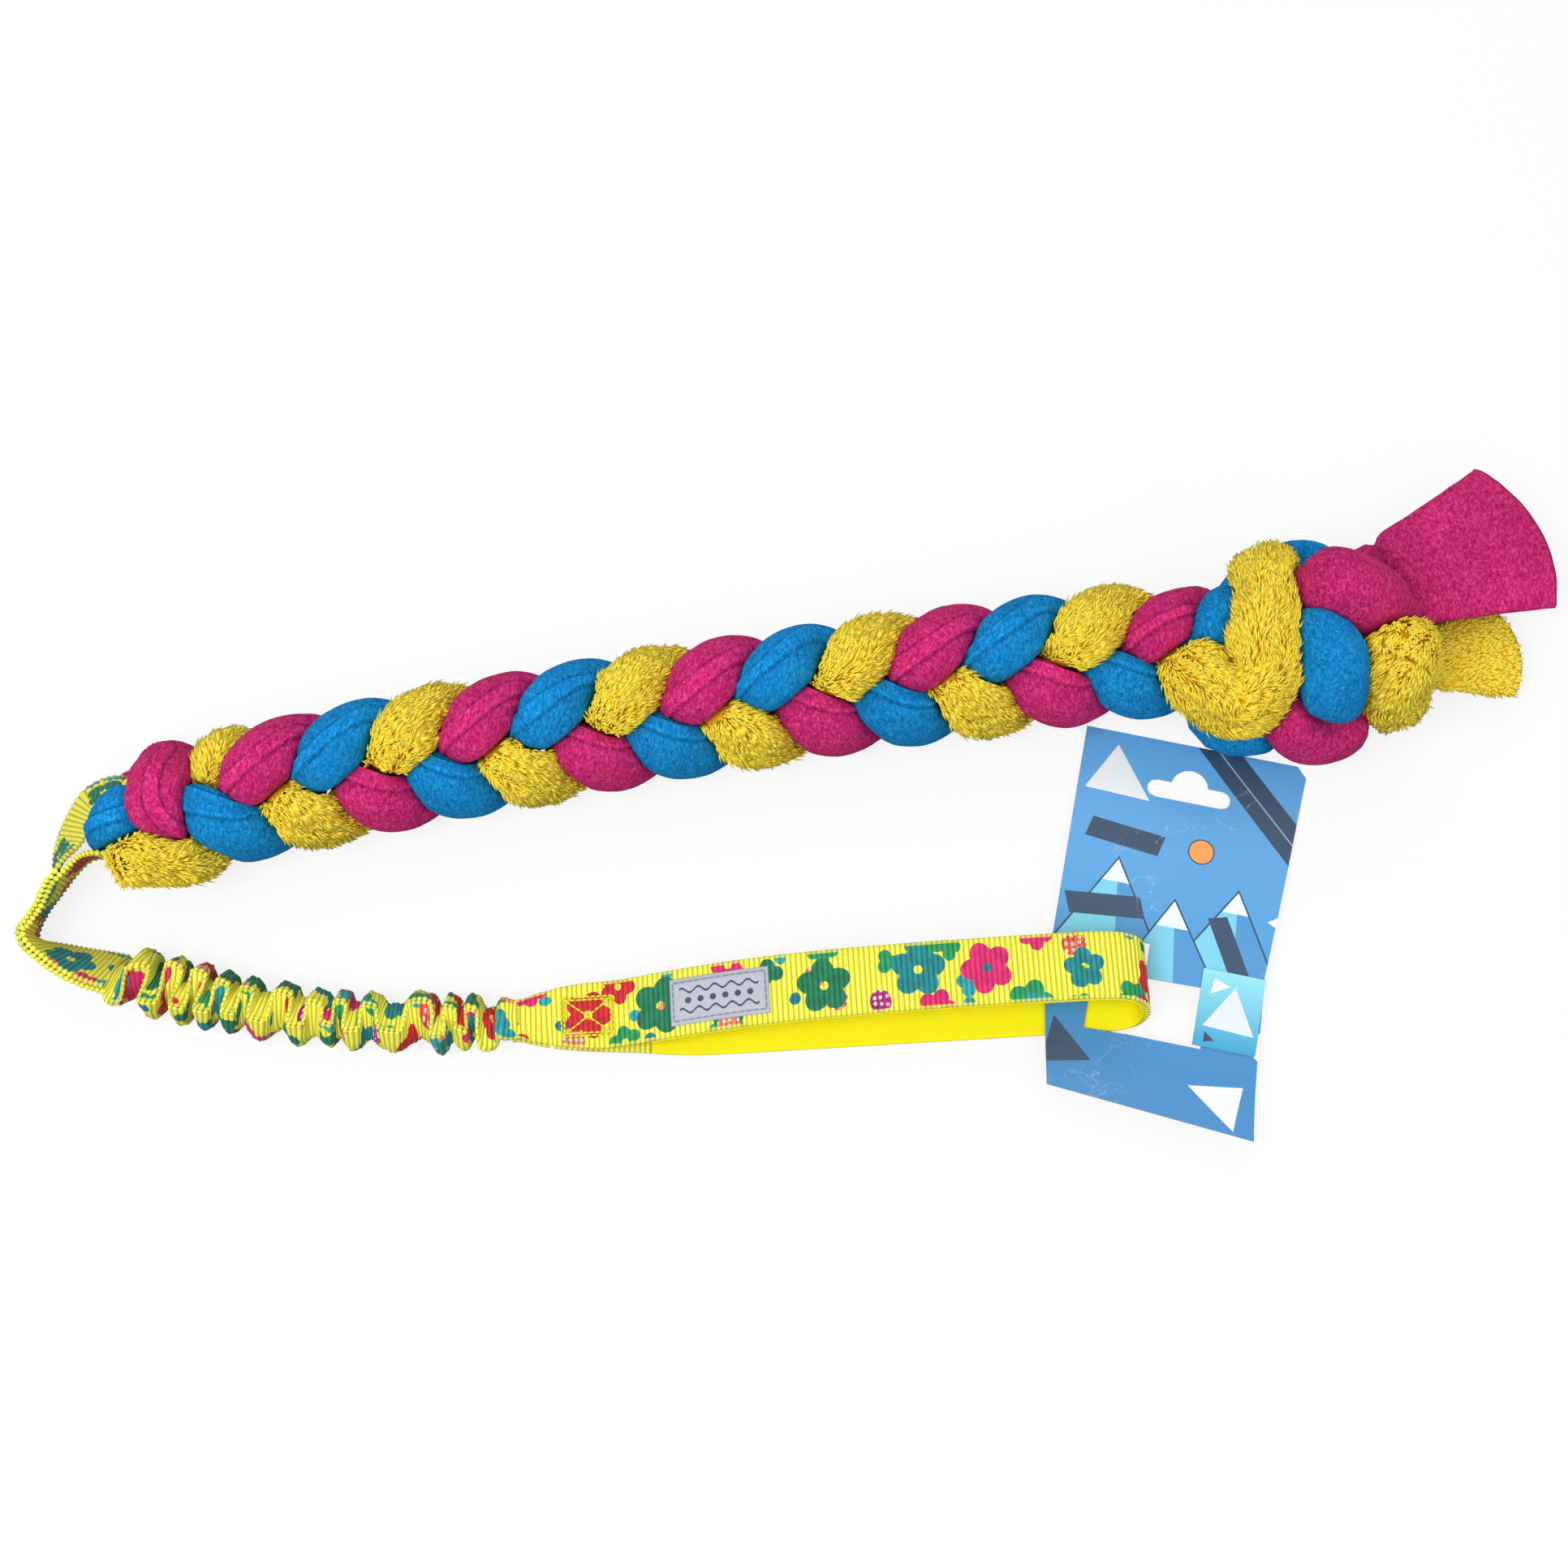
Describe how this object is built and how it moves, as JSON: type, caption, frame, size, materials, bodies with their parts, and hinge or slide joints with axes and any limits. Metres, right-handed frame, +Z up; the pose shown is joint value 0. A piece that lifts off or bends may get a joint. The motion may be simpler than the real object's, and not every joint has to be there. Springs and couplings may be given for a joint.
{
  "type": "bungee tug toy",
  "caption": "Plaited fleece and fur dog tug toy with a knot at one end and a stretchy gathered webbing sleeve with a hand loop at the other, and a hang card.",
  "frame": {"origin": "on the floor under the middle of the whole object's box", "axes": "+X along the toy from the webbing loop to the knot, +Y from the hand loop to the plait, +Z up from the floor"},
  "size_m": [0.5782, 0.262, 0.0576],
  "materials": {
    "pink_fleece": "brushed fleece",
    "blue_fleece": "brushed fleece",
    "yellow_fur": "short shaggy pile",
    "printed_web": "ribbed grosgrain webbing, printed",
    "lining": "smooth woven polyester",
    "elastic": "knitted cover over rubber",
    "thread": "polyester thread",
    "label": "woven damask",
    "card": "coated board, satin",
    "sticker": "glossy paper"
  },
  "bodies": {
    "plait": {"pink_fleece_strand": "pink_fleece", "blue_fleece_strand": "blue_fleece", "yellow_fur_strand": "yellow_fur", "tug_loop_web": "printed_web"},
    "neck": {"neck_inner_web": "printed_web", "neck_outer_web": "printed_web", "loop_bartack": "thread"},
    "sleeve": {"turn_inner_web": "printed_web", "turn_outer_web": "printed_web", "sleeve_upper_web": "printed_web", "sleeve_lower_web": "printed_web", "bungee_elastic": "elastic"},
    "handle": {"throat_web": "printed_web", "handle_web": "printed_web", "handle_lining": "lining", "box_stitching": "thread", "label": "label"},
    "card": {"header_card": "card", "card_sticker": "sticker"}
  },
  "joints": [
    {"name": "neck_swing", "type": "hinge", "parent": "plait", "child": "neck", "pos_m": [-0.28032, -0.03711, 0], "axis": [0, 0, 1], "range_deg": [-56, 0]},
    {"name": "sleeve_swing", "type": "hinge", "parent": "neck", "child": "sleeve", "pos_m": [-0.28917, -0.05772, 0], "axis": [0, 0, 1], "range_deg": [-70, 0]},
    {"name": "bungee_stretch", "type": "slide", "parent": "sleeve", "child": "handle", "axis": [0.9887, -0.15, 0], "range_m": [0, 0.09], "stiffness_N_per_m": 250, "deforming": ["sleeve_upper_web", "sleeve_lower_web", "bungee_elastic"]},
    {"name": "card_swing", "type": "hinge", "parent": "handle", "child": "card", "pos_m": [0.0975, -0.0746, 0], "axis": [0, 0, 1], "range_deg": [-10, 3]}
  ]
}
